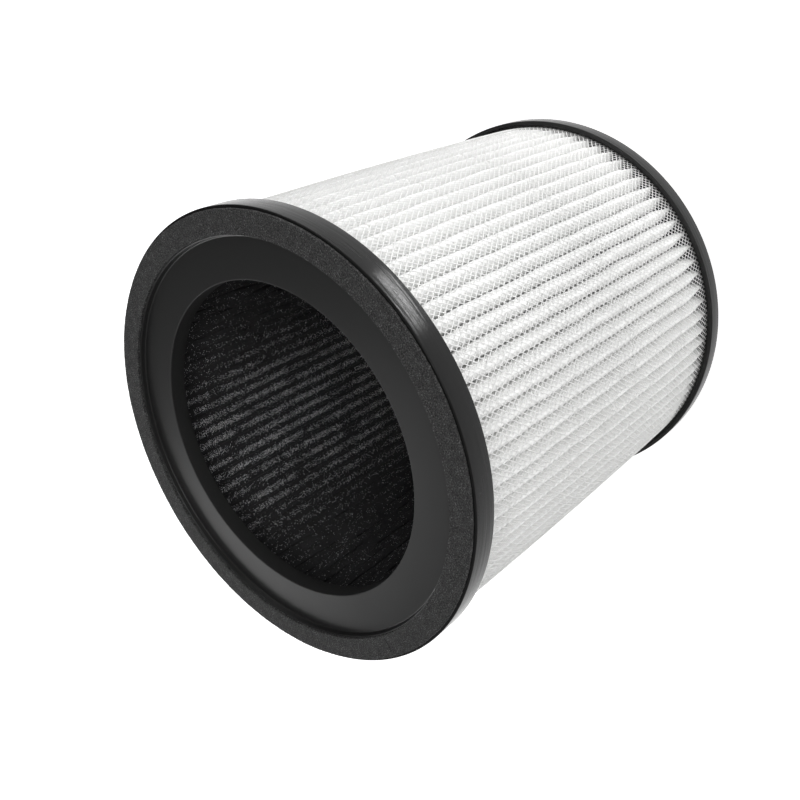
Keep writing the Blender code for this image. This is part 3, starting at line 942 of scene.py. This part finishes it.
def black_face(shapes, z):
    """Face of the black sheet towards the bore: 12 points from one outer fold to the next.

    Every inner fold is a rounded ridge, and two ridges meet in a hollow half-way.
    """
    crest = crest_centres(shapes, z)
    after = root_centres(shapes, z)
    swell, hollow = shapes.black_fold(z)
    top = CREST_RADIUS - PACK_DEPTH - BACK_DEPTH
    left_reach = (after - next_fold(after, -1)) / 2 * ROOT_RADIUS - SLIT
    right_reach = (next_fold(after) - after) / 2 * ROOT_RADIUS - SLIT
    arc = [
        local_points(ROOT_RADIUS - swell + hollow * s ** 2, (right_reach if s > 0 else left_reach) * s, after)
        for s in RIDGE
    ]
    first = local_points(top - SLIT_DEPTH, SLIT, crest)
    last = local_points(top - SLIT_DEPTH, -SLIT, next_fold(crest))
    flat = [
        local_points(top, 0.0, crest), first, lerp(first, arc[0], SLIT_BEND), *arc,
        lerp(last, arc[-1], SLIT_BEND), last,
    ]
    return with_height(np.stack(flat, 2), z)


def black_back(shapes, z):
    """Hidden face of the black sheet: 5 points from one outer fold to the next."""
    crest = crest_centres(shapes, z)
    after = root_centres(shapes, z)
    top = CREST_RADIUS - BLACK_DEPTH - BACK_DEPTH
    bottom = ROOT_RADIUS + PACK_DEPTH - BLACK_DEPTH
    aside = ROOT_HALF_WIDTH + BLACK_DEPTH
    flat = [
        local_points(top, 0.0, crest),
        local_points(top, BLACK_CORNER, crest),
        local_points(bottom, -aside, after),
        local_points(bottom, aside, after),
        local_points(top, -BLACK_CORNER, next_fold(crest)),
    ]
    return with_height(np.stack(flat, 2), z)


def folded_sheet(name, fine, coarse, material, replaced):
    """Closed sheet between a finely drawn face and a coarse one."""
    fine_levels, _, fine_count, _ = fine.shape
    coarse_levels, _, coarse_count, _ = coarse.shape
    fine_columns = PLEATS * fine_count
    coarse_columns = PLEATS * coarse_count
    start = fine_levels * fine_columns
    points = np.concatenate([fine.reshape(-1, 3), coarse.reshape(-1, 3)])
    faces = [tuple(f) for f in grid_faces(fine_levels, fine_columns, wrap_columns=True)]
    hidden = grid_faces(coarse_levels, coarse_columns, wrap_columns=True, start=start)
    faces += [tuple(f[::-1]) for f in hidden]
    for level, coarse_level, flip in ((0, 0, True), (fine_levels - 1, coarse_levels - 1, False)):
        for pleat in range(PLEATS):
            first = pleat * fine_count
            ring = [level * fine_columns + (first + k) % fine_columns for k in range(fine_count + 1)]
            first = pleat * coarse_count
            back = [
                start + coarse_level * coarse_columns + (first + k) % coarse_columns
                for k in range(coarse_count + 1)
            ]
            edge = ring + back[::-1]
            faces.append(tuple(edge[::-1] if flip else edge))
    piece = add_piece(name, points, faces, [material], replaced)
    return piece


def build_pleats():
    """White nonwoven and black carbon cloth, folded together."""
    sizes = settings("pleats")
    shapes = PleatShapes()
    z = pack_levels()
    back_z = np.linspace(PACK_BOTTOM, PACK_TOP, BACK_LEVELS)
    white = melt_blown_nonwoven("melt_blown_nonwoven", tuple(sizes.white))
    black = carbon_cloth("activated_carbon_cloth", tuple(sizes.black), sizes.grit)
    folded_sheet("white_pleats", white_face(shapes, z), white_back(shapes, back_z), white,
                 ["hepa_pleats"])
    cloth = folded_sheet("black_pleats", black_face(shapes, z), black_back(shapes, back_z), black,
                         ["carbon_pleats"])
    # The black cloth's "ridge" value is the painted highlight that its pale grains follow
    columns = np.zeros((len(z), PLEATS, BLACK_COLUMNS))
    columns[:, :, RIDGE_COLUMN:RIDGE_COLUMN + len(RIDGE)] = shapes.painted_glint(z)
    ridge = np.zeros(len(cloth.data.vertices))
    ridge[:columns.size] = columns.reshape(-1)
    cloth.data.attributes.new("ridge", "FLOAT", "POINT").data.foreach_set("value", ridge)


def build_line(number, height, shapes, material):
    """One hot-melt line: a spacer across every gap between pleats and a thin thread over each fold."""
    sizes = settings("lines")
    face = white_face(shapes, np.array([height]))[0, :, :, :2]
    rng = np.random.default_rng(LINE_SEED + number)
    up = SPACER_REACH / (CREST_RADIUS - ROOT_RADIUS)
    stations = []
    for pleat in range(PLEATS):
        following = (pleat + 1) % PLEATS
        for column, half in THREAD:
            inner = face[pleat, column] * (1 - THREAD_INSIDE / CREST_RADIUS)
            outer = face[pleat, column] * (1 + THREAD_OUTSIDE / CREST_RADIUS)
            stations.append((inner, outer, half * MM))
        before_top, after_top = face[pleat, BEFORE_TOP], face[following, AFTER_TOP]
        before_low = lerp(face[pleat, BEFORE_ROOT], before_top, up)
        after_low = lerp(face[following, AFTER_ROOT], after_top, up)
        half = sizes.thickness / 2 * rng.uniform(*SPACER_UNEVEN)
        sink = rng.uniform(*SPACER_SINK) * MM
        for t, dip in SPACER_DIPS:
            outer = lerp(before_top, after_top, t)
            outer = outer * (1 - (dip * MM + sink) / np.hypot(*outer))
            stations.append((lerp(before_low, after_low, t), outer, half))
    points = []
    for inner, outer, half in stations:
        middle = (inner + outer) / 2
        for a in LINE_SECTION:
            across = np.clip(math.cos(a) * LINE_ROUND, -1, 1)
            flat = middle + (outer - middle) * across
            points.append((*flat, height + half * math.sin(a) * LINE_ROUND))
    faces = grid_faces(len(stations), len(LINE_SECTION), wrap_rows=True, wrap_columns=True)
    return add_piece(f"spacer_line_{number}", points, faces, [material])


def build_lines():
    """All hot-melt lines."""
    shapes = PleatShapes()
    material = hot_melt("hot_melt_adhesive", tuple(settings("lines").glue))
    for number, height in enumerate(line_heights(), start=1):
        build_line(number, height, shapes, material)


def finish_potting():
    """Potting on the solids that hold the pleats' ends; its black is partly the potting's own colour and
    partly painted shade that darkens the folds' ends at the caps.
    """
    potting = polyurethane_potting("polyurethane_potting", tuple(settings("caps").potting))
    for node in ("top_adhesive", "base_adhesive"):
        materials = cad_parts[node].data.materials
        materials.clear()
        materials.append(potting)


def build_net():
    """Diamond netting: two sets of strands that wind opposite ways and are fused where they cross."""
    sizes = settings("net")
    rng = np.random.default_rng(NET_SEED)
    z = np.linspace(PACK_BOTTOM, PACK_TOP, NET_LEVELS)
    half_step = math.pi / sizes.columns
    lean = half_step / (sizes.diamond / 2)
    start = np.arange(sizes.columns) * 2 * half_step
    free = 1 - (np.abs(z - PACK_MIDDLE) / PACK_HALF) ** NET_END
    phases = rng.uniform(0, math.tau, (2, len(NET_WAVES)))
    sets = []
    for direction in (1, -1):
        angle = start[:, None] + direction * lean * (z - PACK_MIDDLE)
        drawn_round, drawn_up = [
            sum(np.sin(turns * angle + math.tau * z / (wave * MM) + phase) / len(NET_WAVES)
                for (turns, wave), phase in zip(NET_WAVES, row))
            for row in phases
        ]
        angle = angle + sizes.wander * free * drawn_round / CREST_RADIUS
        height = z + sizes.wander * free * drawn_up
        radius = swollen(z) - sizes.sunk + direction * NET_CROSSING
        cos_a, sin_a = np.cos(angle), np.sin(angle)
        centre = np.stack([radius * cos_a, radius * sin_a, height], -1)
        along = np.gradient(centre, axis=1)
        along /= np.linalg.norm(along, axis=-1, keepdims=True)
        out = np.stack([cos_a, sin_a, np.zeros_like(cos_a)], -1)
        aside = np.cross(along, out)
        sets.append(np.stack([
            centre + math.cos(a) * sizes.strand / 2 * aside + math.sin(a) * sizes.strand_depth / 2 * out
            for a in STRAND_SECTION
        ], 2))
    strands = np.concatenate(sets)
    rings = len(STRAND_SECTION)
    faces = []
    for index in range(len(strands)):
        first = index * NET_LEVELS * rings
        last = first + (NET_LEVELS - 1) * rings
        faces.append(grid_faces(NET_LEVELS, rings, wrap_columns=True, start=first))
        faces.append(np.array([
            [first + 3, first + 2, first + 1, first], [last, last + 1, last + 2, last + 3]]))
    material = extruded_polypropylene("extruded_polypropylene", tuple(sizes.plastic))
    return add_piece("diamond_netting", strands, np.concatenate(faces), [material],
                     ["outer_net"])


def soft_light(name, place, aim, size, spread, power):
    """Flat soft light at a place, aimed at a point."""
    data = bpy.data.lights.new(name, "AREA")
    data.shape = "RECTANGLE"
    data.size, data.size_y = size
    data.spread = math.radians(spread)
    data.energy = power
    light = bpy.data.objects.new(name, data)
    back = np.array(place, float) - np.array(aim, float)
    back /= np.linalg.norm(back)
    right = np.cross((0.0, 0.0, 1.0), back) if abs(back[2]) < 0.99 else np.array((1.0, 0.0, 0.0))
    right /= np.linalg.norm(right)
    up = np.cross(back, right)
    light.matrix_world = Matrix([
        (right[0], up[0], back[0], place[0]),
        (right[1], up[1], back[1], place[1]),
        (right[2], up[2], back[2], place[2]),
        (0, 0, 0, 1),
    ])
    light.visible_camera = False
    bpy.context.scene.collection.objects.link(light)


def build_stage():
    """Pale floor, soft studio light and the photograph's camera."""
    sizes = settings("stage")
    angle = np.arange(FLOOR_SIDES) * math.tau / FLOOR_SIDES
    rim = [(FLOOR_RADIUS * math.cos(a), FLOOR_RADIUS * math.sin(a), 0.0) for a in angle]
    mesh = bpy.data.meshes.new("studio_floor")
    mesh.from_pydata(rim, [], [tuple(range(FLOOR_SIDES))])
    mesh.materials.append(opal_acrylic("opal_acrylic", tuple(sizes.floor), sizes.glow))
    floor = bpy.data.objects.new("studio_floor", mesh)
    bpy.context.scene.collection.objects.link(floor)

    world = bpy.data.worlds.new("studio_surround")
    world.use_nodes = True
    tree = world.node_tree
    background = tree.nodes["Background"]
    # White all round, and dimmer towards one side, which the satin plastic shows
    outlook = add_node(tree, "ShaderNodeTexCoord").outputs["Generated"]
    towards = add_node(tree, "ShaderNodeVectorMath", {
        0: outlook, 1: DARK_DIRECTION}, operation="DOT_PRODUCT")
    strength = add_node(tree, "ShaderNodeMapRange", {
        "Value": towards.outputs["Value"], "From Min": DARK_EDGE[0], "From Max": DARK_EDGE[1],
        "To Min": sizes.surround, "To Max": sizes.surround * sizes.dark_side},
        interpolation_type="SMOOTHSTEP")
    tree.links.new(strength.outputs["Result"], background.inputs["Strength"])
    background.inputs["Color"].default_value = (1.0, 1.0, 1.0, 1.0)
    bpy.context.scene.world = world
    for name, (place, aim, size, spread) in LIGHTS.items():
        soft_light(name + "_light", place, aim, size, spread, getattr(sizes, name))

    data = bpy.data.cameras.new("photo_camera")
    data.lens = CAMERA_LENS
    data.sensor_width = CAMERA_SENSOR
    data.clip_start = 0.01
    data.clip_end = 50.0
    camera = bpy.data.objects.new("photo_camera", data)
    rows = [(*axes, place) for axes, place in zip(CAMERA_AXES, CAMERA_PLACE)]
    camera.matrix_world = Matrix([*rows, (0, 0, 0, 1)])
    bpy.context.scene.collection.objects.link(camera)
    bpy.context.scene.camera = camera
    bpy.context.scene.view_settings.view_transform = "Standard"


class FILTER_OT_end_caps(Operator):
    """Make both moulded end caps"""
    bl_idname = "purifier.end_caps"
    bl_label = "End caps"

    def execute(self, context):
        materials = cap_materials()
        build_top_cap(materials)
        build_base_cap(materials)
        return {"FINISHED"}


class FILTER_OT_gasket(Operator):
    """Make the foam gasket"""
    bl_idname = "purifier.gasket"
    bl_label = "Foam gasket"

    def execute(self, context):
        build_gasket()
        return {"FINISHED"}


class FILTER_OT_pleats(Operator):
    """Make the folded white and black sheets"""
    bl_idname = "purifier.pleats"
    bl_label = "Pleats"

    def execute(self, context):
        build_pleats()
        return {"FINISHED"}


class FILTER_OT_lines(Operator):
    """Make the hot-melt spacer lines and finish the potting"""
    bl_idname = "purifier.lines"
    bl_label = "Spacer lines"

    def execute(self, context):
        build_lines()
        finish_potting()
        return {"FINISHED"}


class FILTER_OT_net(Operator):
    """Make the diamond netting"""
    bl_idname = "purifier.net"
    bl_label = "Netting"

    def execute(self, context):
        build_net()
        return {"FINISHED"}


class FILTER_OT_stage(Operator):
    """Make the floor, the lights and the camera"""
    bl_idname = "purifier.stage"
    bl_label = "Stage"

    def execute(self, context):
        build_stage()
        return {"FINISHED"}


OPERATORS = (
    FILTER_OT_end_caps,
    FILTER_OT_gasket,
    FILTER_OT_pleats,
    FILTER_OT_lines,
    FILTER_OT_net,
    FILTER_OT_stage,
)


class FILTER_PT_pieces(Panel):
    """Sizes, colours and operators of the filter"""
    bl_label = "Purifier filter"
    bl_space_type = "VIEW_3D"
    bl_region_type = "UI"
    bl_category = "Filter"

    def draw(self, context):
        for group, kind in GROUPS.items():
            box = self.layout.box()
            box.label(text=kind.__doc__)
            for key in kind.__annotations__:
                box.prop(getattr(context.scene, "filter_" + group), key)
        for operator in OPERATORS:
            self.layout.operator(operator.bl_idname)


def register():
    """Register the groups, the operators and the panel."""
    for kind in (*GROUPS.values(), *OPERATORS, FILTER_PT_pieces):
        bpy.utils.register_class(kind)
    for group, kind in GROUPS.items():
        setattr(bpy.types.Scene, "filter_" + group, PointerProperty(type=kind))


def unregister():
    """Take back what register added."""
    for group in GROUPS:
        delattr(bpy.types.Scene, "filter_" + group)
    for kind in (FILTER_PT_pieces, *reversed(OPERATORS), *reversed(GROUPS.values())):
        bpy.utils.unregister_class(kind)


def main():
    """Build every piece and the stage."""
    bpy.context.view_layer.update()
    register()
    bpy.ops.purifier.end_caps()
    bpy.ops.purifier.gasket()
    bpy.ops.purifier.pleats()
    bpy.ops.purifier.lines()
    bpy.ops.purifier.net()
    bpy.ops.purifier.stage()


if __name__ == "__main__":
    main()
